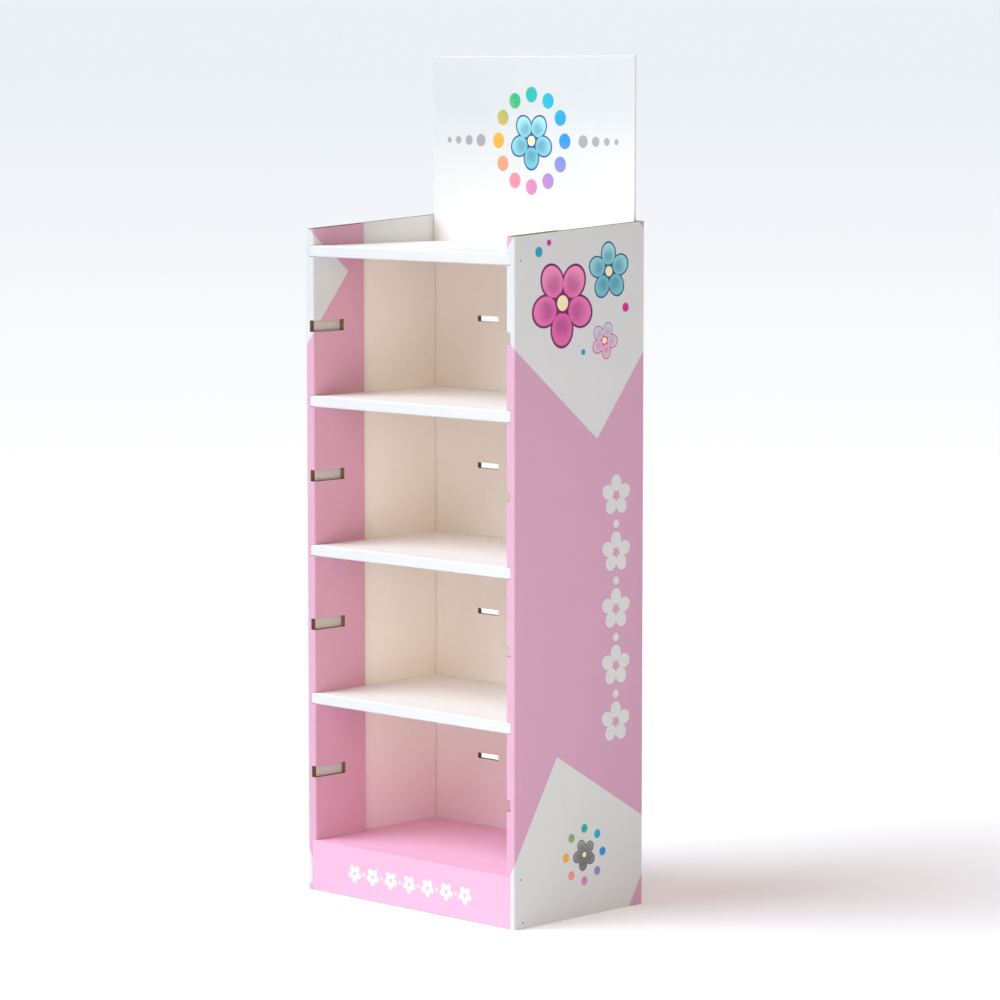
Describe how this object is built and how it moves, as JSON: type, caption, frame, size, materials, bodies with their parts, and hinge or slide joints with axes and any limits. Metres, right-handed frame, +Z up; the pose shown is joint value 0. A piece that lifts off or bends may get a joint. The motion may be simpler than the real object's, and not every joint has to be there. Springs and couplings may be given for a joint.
{
  "type": "cardboard display stand",
  "caption": "Free-standing corrugated board display stand: printed side panels, level shelves, a plinth and a blank header, open at the front.",
  "frame": {"origin": "on the floor, under the middle of the stand", "axes": "-Y is the open front, +X is the stand's right seen from the front, +Z is up"},
  "size_m": [0.582, 0.362, 1.679],
  "materials": {
    "side_board": "pale pink and white fields printed on corrugated board, satin",
    "plain_board": "unprinted liner of corrugated board, matte",
    "header_card": "white card folded double, satin",
    "base_board": "pink print on corrugated board, satin",
    "shelf_board": "white print on corrugated board, satin"
  },
  "bodies": {
    "root": {"left_side_panel": "side_board", "right_side_panel": "side_board", "back_panel": "plain_board", "header_card": "header_card", "base_tray": "base_board", "shelf_1": "shelf_board", "shelf_2": "shelf_board", "shelf_3": "shelf_board", "shelf_4": "shelf_board"}
  },
  "joints": []
}
